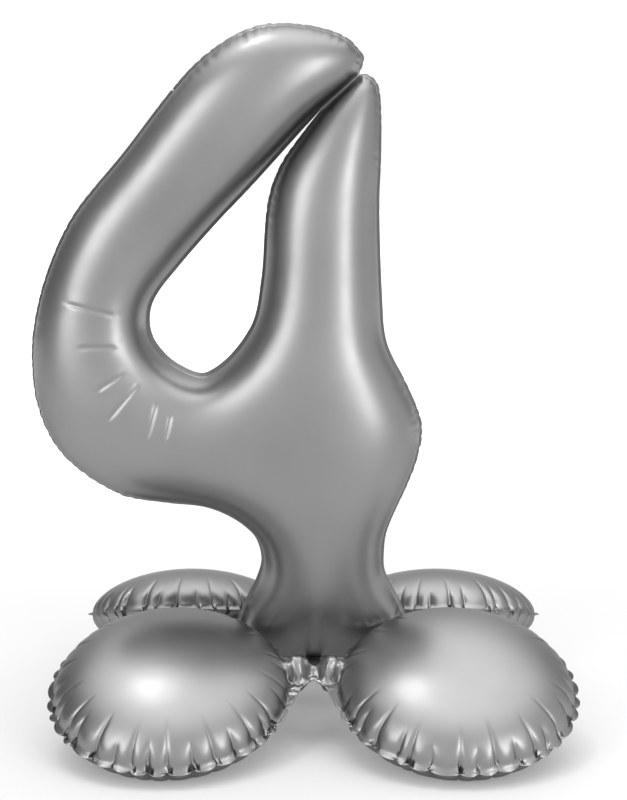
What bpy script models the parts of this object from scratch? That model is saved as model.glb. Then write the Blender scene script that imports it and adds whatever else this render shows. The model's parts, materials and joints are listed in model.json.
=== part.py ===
"""Free-standing foil balloon in the shape of the numeral four.

Every air chamber is two sheets of film sealed together round a flat margin. The numeral is one chamber. It
stands between two pairs of pillow feet, each pair one chamber with a pinched waist and a flat strap. The
straps end at the numeral's tail, where pads hold them, and each pair of feet swings about that line.
"""
import math

import bmesh
import bpy
import numpy as np
from mathutils import Vector
from mathutils.geometry import delaunay_2d_cdt, interpolate_bezier

# Film
FILM = 0.0005          # wall of one foil, drawn thicker than the real film
VALVE_FILM = 0.0003    # wall of one valve film
GAP = 0.0003           # clearance between sheets that touch

# Numeral
NUMERAL_WIDTH = 0.414
NUMERAL_HEIGHT = 0.6645
NUMERAL_DROP = 0.01528  # its lower seam hangs this far below the edge of the feet's waist
NUMERAL_HEM = 0.004
NUMERAL_FATNESS = 1.10  # near 1, a straight arm has a round section
NUMERAL_STRETCH = 0.105  # the film stops a wide stretch from swelling to this half thickness
NUMERAL_AXIS = 0.72     # where the tail hangs, as a share of the width
FOOT_CORNER = 0.962     # the corner of the numeral's own foot, as a share of the width
NUMERAL_MESH = 0.020
TAIL_WIDTH = 0.018
TAIL_LENGTH = 0.026
TAIL_FLARE = 0.016     # stretch over which the sheets part for the valve

# Feet
FOOT_RADIUS = 0.1224
FOOT_TUCK = 0.01134    # how far a pillow tucks in beside the corner of the numeral's foot
FOOT_TOUCH = 0.9       # where it does so: this share of its radius up the slope
FOOT_CLEARANCE = 0.02128  # from the middle plane to a pillow's inward bulge
FOOT_THICKNESS = 0.0956
FOOT_TILT = math.radians(21.8)
FOOT_HEM = 0.006
FOOT_MESH = 0.023
FOOT_PRESS = 0.0050    # how far the floor flattens a pillow
WAIST_NEAR = 0.013     # the waist's two edges, measured up the slope from the pillows' centres
WAIST_FAR = 0.033
NECK_NEAR = -0.016     # where the neck's edges leave the pillows
NECK_FAR = 0.050
STRAP_WIDTH = 0.017

# Joining pads, hinges and valves
PAD = 0.0005
PAD_HEIGHT = 0.018
HINGE_CLEARANCE = 0.0025
STRAP_SETBACK = 0.001
VALVE_WIDTH = 0.010
VALVE_LENGTH = 0.060
VALVE_REACH = 0.045    # how far the numeral's valve reaches up into the chamber

NUMERAL_FOOT = (FOOT_CORNER - NUMERAL_AXIS) * NUMERAL_WIDTH
# From the middle to a pillow's centre, sideways.
FOOT_SPREAD = NUMERAL_FOOT - FOOT_TUCK + FOOT_RADIUS * math.sqrt(1 - FOOT_TOUCH ** 2)
FOOT_BULGE = math.hypot(FOOT_RADIUS * math.cos(FOOT_TILT), FOOT_THICKNESS / 2 * math.sin(FOOT_TILT))
FOOT_REACH = FOOT_BULGE + FOOT_CLEARANCE       # the same, forwards
RIM_RISE = FOOT_RADIUS * math.sin(FOOT_TILT)   # from a pillow's centre to its highest rim
# The floor flattens a pillow's lowest point a little.
FOOT_SEAT = math.hypot(RIM_RISE, FOOT_THICKNESS / 2 * math.cos(FOOT_TILT)) - FOOT_PRESS
BEND_REACH = FOOT_REACH - WAIST_FAR * math.cos(FOOT_TILT)  # where the strap leaves the waist
BEND_HEIGHT = FOOT_SEAT + WAIST_FAR * math.sin(FOOT_TILT)
NUMERAL_BASE = BEND_HEIGHT - NUMERAL_DROP      # height of the numeral's lower seam above the floor
SEAM = (GAP + FILM) / 2                        # a foil's middle surface, off the seam plane
VALVE_SEAM = GAP / 2 + VALVE_FILM + GAP + FILM / 2
VALVE_OFFSET = (GAP + VALVE_FILM) / 2
PAD_OFFSET = VALVE_SEAM + FILM / 2 + GAP + PAD / 2
HINGE_REACH = PAD_OFFSET + PAD / 2 + HINGE_CLEARANCE
HINGE_HEIGHT = NUMERAL_BASE - PAD_HEIGHT / 2
STRAP_SLOPE = math.atan2(BEND_HEIGHT - HINGE_HEIGHT, BEND_REACH - HINGE_REACH)
STRAP_LENGTH = math.hypot(BEND_HEIGHT - HINGE_HEIGHT, BEND_REACH - HINGE_REACH) - STRAP_SETBACK
# Puts the middle of the whole box at zero.
MIDDLE = (NUMERAL_AXIS * NUMERAL_WIDTH - FOOT_SPREAD - FOOT_RADIUS) / 2

SATIN = (0.50, 0.50, 0.51)
CLEAR = (0.80, 0.82, 0.84)

# The numeral's edge in shares of its width and height, counter-clockwise from the notch between arm
# and stem.
ARM_AND_BODY = [
    (0.835, 0.922), (0.844, 0.951), (0.777, 0.986), (0.623, 1.000), (0.524, 0.982), (0.410, 0.929),
    (0.239, 0.799), (0.121, 0.712), (0.063, 0.645), (0.019, 0.565), (0.000, 0.483), (0.017, 0.390),
    (0.083, 0.317), (0.218, 0.259), (0.324, 0.246), (0.461, 0.234), (0.559, 0.196), (0.584, 0.157),
    (0.571, 0.121), (0.531, 0.071), (0.518, 0.029), (0.553, 0.003), (0.720, 0.000), (0.914, 0.003),
    (FOOT_CORNER, 0.029), (0.960, 0.063), (0.908, 0.130), (0.903, 0.157), (0.912, 0.201),
    (0.981, 0.303),
    (1.000, 0.369), (0.966, 0.430), (0.908, 0.504), (0.895, 0.573), (0.886, 0.725), (0.890, 0.804),
    (0.884, 0.902), (0.858, 0.922), (0.835, 0.922),
]
COUNTER = [
    (0.717, 0.856), (0.678, 0.820), (0.637, 0.784), (0.604, 0.725), (0.587, 0.604), (0.557, 0.527),
    (0.452, 0.459), (0.378, 0.470), (0.322, 0.503), (0.304, 0.536), (0.316, 0.574), (0.378, 0.625),
    (0.475, 0.693), (0.572, 0.756), (0.670, 0.826), (0.717, 0.856),
]


# ---- outlines ----

def smooth_stroke(points, step):
    """Even steps along a smooth curve through the points."""
    points = [Vector(point) for point in points]
    fine = [points[0]]
    for i in range(len(points) - 1):
        before = points[max(i - 1, 0)]
        start, end = points[i], points[i + 1]
        after = points[min(i + 2, len(points) - 1)]
        span = (end - start).length
        out = (end - before).normalized() * span / 3
        back = (after - start).normalized() * span / 3
        fine += interpolate_bezier(start, start + out, end - back, end, 12)[1:]
    return even_steps(fine, step)


def even_steps(points, step):
    points = np.array([tuple(point)[:2] for point in points])
    along = np.concatenate([[0], np.cumsum(np.linalg.norm(np.diff(points, axis=0), axis=1))])
    count = max(round(along[-1] / step), 1)
    where = np.linspace(0, along[-1], count + 1)
    return np.stack([np.interp(where, along, points[:, axis]) for axis in (0, 1)], axis=1)


def distance_to(points, path):
    """Distance from each point to a closed path."""
    starts, ends = path, np.roll(path, -1, axis=0)
    sides = ends - starts
    lengths = np.maximum((sides ** 2).sum(axis=1), 1e-18)
    share = ((points[:, None] - starts) * sides).sum(axis=2) / lengths
    nearest = starts + np.clip(share, 0, 1)[..., None] * sides
    return np.linalg.norm(points[:, None] - nearest, axis=2).min(axis=1)


def inside(points, path):
    """Which points lie inside a closed path."""
    x, y = points[:, 0, None], points[:, 1, None]
    starts, ends = path, np.roll(path, -1, axis=0)
    crossing = (starts[:, 1] > y) != (ends[:, 1] > y)
    rise = np.where(ends[:, 1] == starts[:, 1], 1, ends[:, 1] - starts[:, 1])
    at = starts[:, 0] + (y - starts[:, 1]) * (ends[:, 0] - starts[:, 0]) / rise
    return (crossing & (x < at)).sum(axis=1) % 2 == 1


def inset(path, depth, step):
    """The closed path moved to its left by the depth, without the points that corners would cross."""
    dense = even_steps(np.vstack([path, path[:1]]), step / 6)[:-1]
    along = np.roll(dense, -1, axis=0) - np.roll(dense, 1, axis=0)
    left = np.stack([-along[:, 1], along[:, 0]], axis=1)
    length = np.linalg.norm(left, axis=1, keepdims=True)
    moved = dense + left / np.maximum(length, 1e-12) * depth
    kept = moved[(distance_to(moved, dense) > 0.97 * depth) & (length[:, 0] > 1e-9)]
    return even_steps(np.vstack([kept, kept[:1]]), step)[:-1]


def numeral_paths():
    """The film's outer edge, the counter's edge, and the one path that runs round both along the slit."""
    size = np.array([NUMERAL_WIDTH, NUMERAL_HEIGHT])
    corner = np.array([-NUMERAL_AXIS * NUMERAL_WIDTH, NUMERAL_BASE])
    strokes = [[Vector(np.array(point) * size + corner) for point in stroke]
               for stroke in (ARM_AND_BODY, COUNTER)]
    outer = smooth_stroke(strokes[0], NUMERAL_MESH)[:-1]
    counter = smooth_stroke(strokes[1], NUMERAL_MESH)[:-1]
    slit = even_steps([outer[0], counter[0]], NUMERAL_MESH)
    round_both = np.vstack([outer, slit[:-1], counter, slit[::-1][:-1]])
    return outer, counter, round_both


def feet_path():
    """The edge of a pair of pillows with the waist between them, counter-clockwise, without the strap."""
    first = math.asin(NECK_FAR / FOOT_RADIUS)
    last = math.asin(NECK_NEAR / FOOT_RADIUS)
    sweep = np.linspace(math.pi - first, -math.pi - last, round(2 * math.pi * FOOT_RADIUS / FOOT_MESH))
    right = [(FOOT_SPREAD + FOOT_RADIUS * math.cos(a), FOOT_RADIUS * math.sin(a)) for a in sweep[::-1]]
    left = [(-x, y) for x, y in right[::-1]]
    near = smooth_stroke([left[-1], (-STRAP_WIDTH / 3, WAIST_NEAR), (STRAP_WIDTH / 3, WAIST_NEAR), right[0]],
                         FOOT_MESH / 3)[1:-1]
    far = smooth_stroke([right[-1], (STRAP_WIDTH / 2, WAIST_FAR), (-STRAP_WIDTH / 2, WAIST_FAR), left[0]],
                        FOOT_MESH / 3)[1:-1]
    return np.vstack([right, far, left, near])


# ---- film ----

def lattice(path, step, margin):
    low, high = path.min(axis=0), path.max(axis=0)
    rows = np.arange(low[1], high[1], step * math.sqrt(3) / 2)
    columns = np.arange(low[0], high[0], step)
    points = np.array([(x + step / 2 * (i % 2), y) for i, y in enumerate(rows) for x in columns])
    points = points[inside(points, path)]
    return points[distance_to(points, path) > margin]


def film_mesh(edges, holes, chamber, step):
    """Flat triangles over the film, with the chamber's outline and a lattice of points inside it."""
    loops = [*edges, *holes, chamber]
    points = [Vector(point) for loop in loops for point in loop]
    sides, first = [], 0
    for loop in loops:
        sides += [(first + i, first + (i + 1) % len(loop)) for i in range(len(loop))]
        first += len(loop)
    points += [Vector(point) for point in lattice(chamber, step, 0.62 * step)]
    found, _, faces, *_ = delaunay_2d_cdt(points, sides, [], 0, 1e-7)
    found = np.array([tuple(point) for point in found])
    faces = np.array([tuple(face) for face in faces])
    middle = found[faces].mean(axis=1)
    kept = np.any([inside(middle, edge) for edge in edges], axis=0)
    for hole in holes:
        kept &= ~inside(middle, hole)
    return found, faces[kept]


def inflated(points, faces, chamber):
    """Height of a film stretched over pressed air: the root of a membrane's sag, round on a straight arm."""
    free = inside(points, chamber) & (distance_to(points, chamber) > 1e-6)
    corners = points[faces]
    count = len(points)
    stiffness, load = np.zeros((count, count)), np.zeros(count)
    sides = np.roll(corners, 1, axis=1) - np.roll(corners, -1, axis=1)
    area = np.abs(sides[:, 0, 0] * sides[:, 1, 1] - sides[:, 0, 1] * sides[:, 1, 0]) / 2
    within = inside(corners.mean(axis=1), chamber)
    for a in range(3):
        np.add.at(load, faces[within, a], area[within] / 3)
        for b in range(3):
            value = (sides[:, a] * sides[:, b]).sum(axis=1) / (4 * area)
            np.add.at(stiffness, (faces[within, a], faces[within, b]), value[within])
    sag = np.zeros(count)
    sag[free] = np.linalg.solve(stiffness[np.ix_(free, free)], load[free])
    return np.sqrt(2 * np.maximum(sag, 0))


def material(name, colour, roughness, metallic):
    made = bpy.data.materials.new(name)
    made.use_nodes = True
    shader = made.node_tree.nodes["Principled BSDF"]
    shader.inputs["Base Color"].default_value = (*colour, 1)
    shader.inputs["Roughness"].default_value = roughness
    shader.inputs["Metallic"].default_value = metallic
    return made


def foil(name, places, faces, upside_down, collection):
    """One sheet of film, given its thickness about its middle surface."""
    mesh = bpy.data.meshes.new(name)
    faces = faces[:, ::-1] if upside_down else faces
    mesh.from_pydata([tuple(place) for place in places], [], [tuple(map(int, face)) for face in faces])
    obj = bpy.data.objects.new(name, mesh)
    collection.objects.link(obj)
    obj.location.x = MIDDLE
    mesh.materials.append(material(name, SATIN, 0.28, 1.0))
    wall = obj.modifiers.new("wall", "SOLIDIFY")
    wall.thickness = FILM
    wall.offset = 0
    wall.use_even_offset = True
    return obj


def plate(name, size, place, tilt, surface, collection):
    """A thin flat strip, tilted about the line from left to right."""
    mesh = bpy.data.meshes.new(name)
    shape = bmesh.new()
    bmesh.ops.create_cube(shape, size=1)
    bmesh.ops.scale(shape, vec=size, verts=shape.verts)
    shape.to_mesh(mesh)
    shape.free()
    obj = bpy.data.objects.new(name, mesh)
    collection.objects.link(obj)
    obj.location = (place[0] + MIDDLE, place[1], place[2])
    obj.rotation_euler = (tilt, 0, 0)
    mesh.materials.append(material(name, *surface))
    return obj


# ---- numeral ----

def tail_edge():
    """The tail hangs from the middle of the lower seam."""
    half, top = TAIL_WIDTH / 2, NUMERAL_BASE + NUMERAL_HEM / 2
    bottom = NUMERAL_BASE - TAIL_LENGTH
    return np.array([(-half, top), (-half, bottom), (half, bottom), (half, top)])


def parted(height):
    """Distance from the seam plane to a foil's middle surface, wider over the valve."""
    share = np.clip((NUMERAL_BASE + NUMERAL_HEM + TAIL_FLARE - height) / TAIL_FLARE, 0, 1)
    return SEAM + (VALVE_SEAM - SEAM) * share * share * (3 - 2 * share)


def numeral(collection):
    outer, counter, round_both = numeral_paths()
    chamber = inset(round_both, NUMERAL_HEM, NUMERAL_MESH)
    points, faces = film_mesh([outer, tail_edge()], [counter], chamber, NUMERAL_MESH)
    height = NUMERAL_FATNESS * inflated(points, faces, chamber)
    height /= np.hypot(1, height / NUMERAL_STRETCH)
    for name, side in (("number_front_foil", -1), ("number_back_foil", 1)):
        depth = side * (parted(points[:, 1]) + height)
        foil(name, np.stack([points[:, 0], depth, points[:, 1]], 1), faces, side > 0, collection)
    length = VALVE_REACH + TAIL_LENGTH
    for name, side in (("number_valve_front_film", -1), ("number_valve_back_film", 1)):
        plate(name, (VALVE_WIDTH, VALVE_FILM, length),
              (0, side * VALVE_OFFSET, NUMERAL_BASE - TAIL_LENGTH + length / 2), 0,
              (CLEAR, 0.2, 0.0), collection)
    for name, side in (("front_joining_pad", -1), ("rear_joining_pad", 1)):
        plate(name, (TAIL_WIDTH, PAD, PAD_HEIGHT), (0, side * PAD_OFFSET, HINGE_HEIGHT), 0,
              (CLEAR, 0.6, 0.0), collection)


# ---- feet ----

def laid(u, v, w, side):
    """A point of the feet's pattern in place: the pillows slope up to the waist, and the strap slopes down."""
    along = np.where(np.abs(u) < STRAP_WIDTH / 2 + GAP, np.maximum(v - WAIST_FAR, 0), 0)
    v = v - along
    slope, drop = FOOT_TILT, STRAP_SLOPE
    on_strap = np.clip(along / (STRAP_WIDTH / 2), 0, 1)
    lean = slope * (1 - on_strap) - drop * on_strap
    inward = -BEND_REACH + (v - WAIST_FAR) * math.cos(slope) + along * math.cos(drop) - w * np.sin(lean)
    up = BEND_HEIGHT + (v - WAIST_FAR) * math.sin(slope) - along * math.sin(drop) + w * np.cos(lean)
    return np.stack([u, side * inward, up], axis=1)


def feet(front_or_rear, side, collection):
    path = feet_path()
    chamber = inset(path, FOOT_HEM, FOOT_MESH * 0.7)
    half = STRAP_WIDTH / 2
    start, end = WAIST_FAR - FOOT_HEM / 2, WAIST_FAR + STRAP_LENGTH
    strap = np.vstack([even_steps([(half, start), (half, end)], STRAP_WIDTH),
                       even_steps([(-half, end), (-half, start)], STRAP_WIDTH)])
    points, faces = film_mesh([path, strap], [], chamber, FOOT_MESH)
    height = inflated(points, faces, chamber)
    height *= FOOT_THICKNESS / 2 / height.max()
    share = np.clip((points[:, 1] - WAIST_FAR + FOOT_HEM) / (2 * FOOT_HEM), 0, 1)
    seam = SEAM + (VALVE_SEAM - SEAM) * share
    for name, way in (("upper", 1), ("lower", -1)):
        places = laid(points[:, 0], points[:, 1], way * (seam + height), side)
        places[:, 2] = np.maximum(places[:, 2], FILM / 2)
        foil(f"{front_or_rear}_feet_{name}_foil", places, faces, (way * side) < 0, collection)
    middle = np.array([WAIST_FAR + STRAP_LENGTH - VALVE_LENGTH / 2])
    for name, way in (("upper", 1), ("lower", -1)):
        place = laid(np.zeros(1), middle, np.array([way * VALVE_OFFSET]), side)[0]
        plate(f"{front_or_rear}_feet_valve_{name}_film", (VALVE_WIDTH, VALVE_LENGTH, VALVE_FILM), place,
              -side * STRAP_SLOPE, (CLEAR, 0.2, 0.0), collection)


def build():
    for obj in list(bpy.data.objects):
        bpy.data.objects.remove(obj)
    collection = bpy.data.collections.new("foil_number_balloon")
    bpy.context.scene.collection.children.link(collection)
    numeral(collection)
    feet("front", 1, collection)
    feet("rear", -1, collection)


build()
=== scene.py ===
# %% [markdown]
# # A free-standing foil balloon: the numeral four on pillow feet
#
# The real thing is nothing but film and air. Two sheets of silver satin film are sealed together round
# the edge of a numeral, and two more pairs of sheets make the feet: round pillows, two by two, with a
# pinched waist between them. The measured frame is loaded first, because every sheet has to fit it and to
# move with it.

# %% load the frame
import json
import math

import bpy
import numpy as np
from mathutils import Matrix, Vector
from mathutils.geometry import delaunay_2d_cdt, interpolate_bezier
from mathutils.kdtree import KDTree


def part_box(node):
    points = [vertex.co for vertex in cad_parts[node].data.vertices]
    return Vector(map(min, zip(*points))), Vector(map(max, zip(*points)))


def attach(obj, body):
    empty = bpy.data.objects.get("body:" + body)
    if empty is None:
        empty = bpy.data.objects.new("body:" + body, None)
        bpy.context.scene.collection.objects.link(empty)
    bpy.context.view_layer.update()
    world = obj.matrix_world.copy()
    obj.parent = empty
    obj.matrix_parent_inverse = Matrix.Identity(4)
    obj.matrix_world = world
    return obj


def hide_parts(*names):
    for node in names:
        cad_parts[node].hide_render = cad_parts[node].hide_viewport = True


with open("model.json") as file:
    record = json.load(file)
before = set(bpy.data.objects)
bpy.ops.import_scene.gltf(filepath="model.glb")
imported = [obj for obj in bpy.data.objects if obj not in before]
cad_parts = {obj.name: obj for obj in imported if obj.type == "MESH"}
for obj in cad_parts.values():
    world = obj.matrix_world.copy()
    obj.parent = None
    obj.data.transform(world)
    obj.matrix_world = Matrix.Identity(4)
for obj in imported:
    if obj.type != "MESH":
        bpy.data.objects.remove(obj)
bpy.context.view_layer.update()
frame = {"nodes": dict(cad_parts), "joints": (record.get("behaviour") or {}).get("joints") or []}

# %% [markdown]
# ## Outlines
#
# A foil balloon starts as a flat drawing: the edge of the film. Curve objects could hold it, but the
# steps after this need plain points. So the numeral's edge is a short list of points, as shares of its
# width and height, which fits the box that the frame gives. A smooth curve runs through them, cut into
# even steps that are short enough for the puckers of the seam.

# %% smooth outlines
CURVE_STEPS = 24  # points that the curve is read at, between two drawn ones


def even_steps(points, step):
    """Points at even steps along straight lines through the given ones."""
    points = np.array([tuple(point)[:2] for point in points])
    lengths = np.linalg.norm(np.diff(points, axis=0), axis=1)
    along = np.concatenate([[0], np.cumsum(lengths)])
    count = max(round(along[-1] / step), 1)
    where = np.linspace(0, along[-1], count + 1)
    return np.stack([np.interp(where, along, points[:, axis]) for axis in (0, 1)], axis=1)


def smooth_stroke(points, step):
    """Even steps along a smooth curve through the points."""
    points = [Vector(point) for point in points]
    fine = [points[0]]
    for i in range(len(points) - 1):
        before, after = points[max(i - 1, 0)], points[min(i + 2, len(points) - 1)]
        start, end = points[i], points[i + 1]
        span = (end - start).length
        out = (end - before).normalized() * span / 3
        back = (after - start).normalized() * span / 3
        fine += interpolate_bezier(start, start + out, end - back, end, CURVE_STEPS)[1:]
    return even_steps(fine, step)


# %% the numeral's drawing
# Shares of the numeral's width and height, counter-clockwise from the notch between arm and stem.
ARM_AND_BODY = [
    (0.835, 0.922), (0.844, 0.951), (0.777, 0.986), (0.623, 1.000), (0.524, 0.982), (0.410, 0.929),
    (0.239, 0.799), (0.121, 0.712), (0.063, 0.645), (0.019, 0.565), (0.000, 0.483), (0.017, 0.390),
    (0.083, 0.317), (0.218, 0.259), (0.324, 0.246), (0.461, 0.234), (0.559, 0.196), (0.584, 0.157),
    (0.571, 0.121), (0.531, 0.071), (0.518, 0.029), (0.553, 0.003), (0.720, 0.000), (0.914, 0.003),
    (0.962, 0.029), (0.960, 0.063), (0.908, 0.130), (0.903, 0.157), (0.912, 0.201), (0.981, 0.303),
    (1.000, 0.369), (0.966, 0.430), (0.908, 0.504), (0.895, 0.573), (0.886, 0.725), (0.890, 0.804),
    (0.884, 0.902), (0.858, 0.922), (0.835, 0.922),
]
COUNTER = [
    (0.738, 0.868), (0.690, 0.831), (0.637, 0.784), (0.604, 0.725), (0.587, 0.604), (0.557, 0.527),
    (0.452, 0.459), (0.378, 0.470), (0.322, 0.503), (0.304, 0.536), (0.316, 0.574), (0.378, 0.625),
    (0.475, 0.693), (0.572, 0.756), (0.687, 0.834), (0.738, 0.868),
]

# %% the numeral's edges
HEM = 0.003  # width of the sealed margin round the numeral
SLIT_HEM = 0.0016  # and on each side of the slit, where arm and stem nearly touch
TAIL_LENGTH = 0.026  # the tail hangs this far below the numeral's lower seam
TAIL_WIDTH = 0.018
TAIL_SHARE = 0.72  # and hangs at this share of the numeral's width
SEAM_STEP = 0.0022  # step along a seam, fine enough for its puckers

foil_low, foil_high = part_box("number_front_foil")
tail_tip = foil_low.z
numeral_low = Vector((foil_low.x, tail_tip + TAIL_LENGTH))
numeral_size = Vector((foil_high.x, foil_high.z)) - numeral_low
tail_x = numeral_low.x + TAIL_SHARE * numeral_size.x


def placed(stroke):
    """A stroke's points in metres."""
    return [Vector((numeral_low.x + x * numeral_size.x, numeral_low.y + y * numeral_size.y))
            for x, y in stroke]


film_edge = smooth_stroke(placed(ARM_AND_BODY), SEAM_STEP)[:-1]
counter_edge = smooth_stroke(placed(COUNTER), SEAM_STEP)[:-1]
slit = even_steps([film_edge[0], counter_edge[0]], SEAM_STEP)
round_both = np.vstack([film_edge, slit[:-1], counter_edge, slit[::-1][:-1]])
print("numeral edge:", len(film_edge), "points; open middle:", len(counter_edge))

# %% [markdown]
# ## From a drawing to a net of triangles
#
# The seam lies a margin's width inside the film's edge. Film near a seam puckers, and the middle of a
# sheet stays smooth. A grid cut by the outline would leave ragged triangles just where the puckers are,
# so the net has rows of points that follow the seam, and a coarser lattice further in. A Delaunay
# triangulation joins them, with the film's edge and the seam kept as real edges of the net.

# %% nearness, inside and inset
FINE_STEP = 0.0006  # a path is read this finely for distances to it
INSET_STEP = 0.0012  # and this finely for an inset
INSET_SLACK = 0.97  # an inset point may be this share of its depth away from the path


def closed_steps(path, step):
    """Even steps round a closed path."""
    return even_steps(np.vstack([path, path[:1]]), step)[:-1]


def nearest_on(path, points, step=FINE_STEP):
    """For each point: distance to a closed path, how far along the path, and the nearest place on it."""
    dense = closed_steps(path, step)
    tree = KDTree(len(dense))
    for i, (x, y) in enumerate(dense):
        tree.insert((x, y, 0), i)
    tree.balance()
    found = [tree.find((x, y, 0)) for x, y in points]
    index = np.array([item[1] for item in found])
    total = np.linalg.norm(np.diff(np.vstack([dense, dense[:1]]), axis=0), axis=1).sum()
    return np.array([item[2] for item in found]), index / len(dense) * total, dense[index]


def inside(points, path):
    """Which points lie inside a closed path."""
    starts, ends = path, np.roll(path, -1, axis=0)
    rise = np.where(ends[:, 1] == starts[:, 1], 1, ends[:, 1] - starts[:, 1])
    found = []
    for block in np.array_split(points, max(len(points) // 2000, 1)):
        x, y = block[:, 0, None], block[:, 1, None]
        crossing = (starts[:, 1] > y) != (ends[:, 1] > y)
        at = starts[:, 0] + (y - starts[:, 1]) * (ends[:, 0] - starts[:, 0]) / rise
        found.append((crossing & (x < at)).sum(axis=1) % 2 == 1)
    return np.concatenate(found)


def inset(path, depth_at, step):
    """The closed path moved to its left by a depth, without the points that its corners would cross."""
    dense = closed_steps(path, INSET_STEP)
    along = np.roll(dense, -1, axis=0) - np.roll(dense, 1, axis=0)
    left = np.stack([-along[:, 1], along[:, 0]], axis=1)
    length = np.linalg.norm(left, axis=1, keepdims=True)
    moved = dense + left / np.maximum(length, 1e-12) * depth_at(dense)[:, None]
    gap, _, nearest = nearest_on(dense, moved)
    return closed_steps(moved[(gap > INSET_SLACK * depth_at(nearest)) & (length[:, 0] > 1e-9)], step)


def evenly(depth):
    """The same depth everywhere, for inset."""
    return lambda points: np.full(len(points), depth)


# %% the net of triangles
COARSE_STEP = 0.002  # a path is read this finely where its lattice keeps a wide margin


def lattice(path, step, margin):
    """Points in rows of even triangles inside a closed path, a margin away from it."""
    low, high = path.min(axis=0), path.max(axis=0)
    rows = np.arange(low[1], high[1], step * math.sqrt(3) / 2)
    across = np.arange(low[0], high[0], step)
    points = np.array([(x + step / 2 * (i % 2), y) for i, y in enumerate(rows) for x in across])
    points = points[inside(points, path)]
    return points[nearest_on(path, points, COARSE_STEP)[0] > margin]


def film_net(edges, holes, chamber, free_points):
    """Triangles over the film between its edges and holes, with the chamber's outline kept as edges."""
    loops = [*edges, *holes, chamber]
    points = [Vector(point) for loop in loops for point in loop]
    sides, first = [], 0
    for loop in loops:
        sides += [(first + i, first + (i + 1) % len(loop)) for i in range(len(loop))]
        first += len(loop)
    points += [Vector(point) for point in free_points]
    found, _, faces, *_ = delaunay_2d_cdt(points, sides, [], 0, 1e-7)
    found = np.array([tuple(point) for point in found])
    faces = np.array([tuple(face) for face in faces])
    middle = found[faces].mean(axis=1)
    kept = np.any([inside(middle, edge) for edge in edges], axis=0)
    for hole in holes:
        kept &= ~inside(middle, hole)
    return found, faces[kept]


# %% [markdown]
# ## Air pressure
#
# The numeral and the pillows are held in shape by air alone. A cloth simulation with pressure can do
# that, but film hardly stretches, and thousands of stiff triangles settle slowly. A membrane under even
# pressure sags by an amount that obeys Poisson's equation, which is solved here in one go on the same
# net. The root of twice the sag gives a round section on a straight arm, which is what a long foil tube
# takes, and a dome on a disc.

# %% inflate a net
ON_SEAM = 4e-4  # a point nearer to the seam than this is held by it
MOST_ROUNDS = 3000  # of conjugate gradients, which stop sooner once the sag is settled
SETTLED = 1e-14


def inflated(points, faces, chamber):
    """Height of the pressed film over each point: zero on the seam and beyond it."""
    corners = points[faces]
    within = inside(corners.mean(axis=1), chamber)
    free = inside(points, chamber) & (nearest_on(chamber, points)[0] > ON_SEAM)
    sides = np.roll(corners, 1, axis=1) - np.roll(corners, -1, axis=1)
    area = np.abs(sides[:, 0, 0] * sides[:, 1, 1] - sides[:, 0, 1] * sides[:, 1, 0]) / 2
    count, used = len(points), faces[within]
    load = np.bincount(used.ravel(), np.repeat(area[within] / 3, 3), count)
    rows, columns, values = [], [], []
    for a in range(3):
        for b in range(3):
            rows.append(used[:, a])
            columns.append(used[:, b])
            values.append(((sides[:, a] * sides[:, b]).sum(axis=1) / (4 * area))[within])
    rows, columns, values = (np.concatenate(part) for part in (rows, columns, values))
    weight = np.maximum(np.bincount(rows[rows == columns], values[rows == columns], count), 1e-12)

    def pull(sag):
        return np.where(free, np.bincount(rows, values * sag[columns], count), 0)

    sag, left = np.zeros(count), np.where(free, load, 0)
    step = left / weight
    size = left @ step
    for _ in range(MOST_ROUNDS):
        pulled = pull(step)
        share = size / (step @ pulled)
        sag += share * step
        left = left - share * pulled
        ready = left / weight
        fresh = left @ ready
        if fresh < SETTLED * abs(size) + 1e-22:
            break
        step = ready + fresh / size * step
        size = fresh
    return np.sqrt(2 * np.maximum(sag, 0))


# %% [markdown]
# ## Puckers
#
# Where a seam runs round the outside of a curve, the blown-up edge is shorter than the flat one was. The
# spare film gathers into puckers: sharp valleys that start at the seam and die out further in. A cloth
# simulation could gather them, but it would need a very fine net over the whole numeral. A formula does
# it with a fine net at the seam only: each valley is a place along the seam, and a point sinks by how
# near it is to that valley.


# %% pucker helpers
def bend_of(path, reach):
    """How sharply a closed path turns outwards, in radians per metre, smoothed over a reach."""
    step = np.linalg.norm(path[1] - path[0])
    ahead = np.roll(path, -1, axis=0) - path
    turn = np.arctan2(ahead[:, 1], ahead[:, 0])
    change = (np.roll(turn, -1) - turn + math.pi) % (2 * math.pi) - math.pi
    width = max(int(reach / step), 1)
    window = np.hanning(2 * width + 3)
    window /= window.sum()
    padded = np.concatenate([change[-len(window):], change, change[:len(window)]])
    smooth = np.convolve(padded, window, mode="same")[len(window):-len(window)]
    return smooth / step


def valley_places(total, pitch, jitter, random):
    """Places along a closed seam, about a pitch apart."""
    count = max(round(total / pitch), 1)
    return (np.arange(count) + jitter * random.uniform(-1, 1, count)) * total / count


VALLEY_FADE = 1.3  # how a valley dies out along its length
VALLEY_SHARPNESS = 1.8  # and how narrow its bottom is


def valleys(along, distance, total, width, places, lengths, depths):
    """How deep each point lies in the valleys: 1 at the bottom of a full one, at the seam."""
    deep = np.zeros(len(along))
    for place, length, depth in zip(places, lengths, depths):
        away = np.abs((along - place + total / 2) % total - total / 2)
        near = away < width
        fade = np.clip(1 - np.maximum(distance[near], 0) / length, 0, 1) ** VALLEY_FADE
        sharp = (1 - away[near] / width) ** VALLEY_SHARPNESS
        deep[near] = np.maximum(deep[near], depth * sharp * fade)
    return deep


# %% [markdown]
# ## Making a sheet
#
# On the real balloon every chamber is two sheets, sealed only at the margin, and each sheet is one piece
# here too. Film is far thinner than anything a modeller would draw wall by wall, so each sheet is an open
# net, and the Solidify modifier gives it a thickness of 0.2 mm towards the inside.

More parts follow.
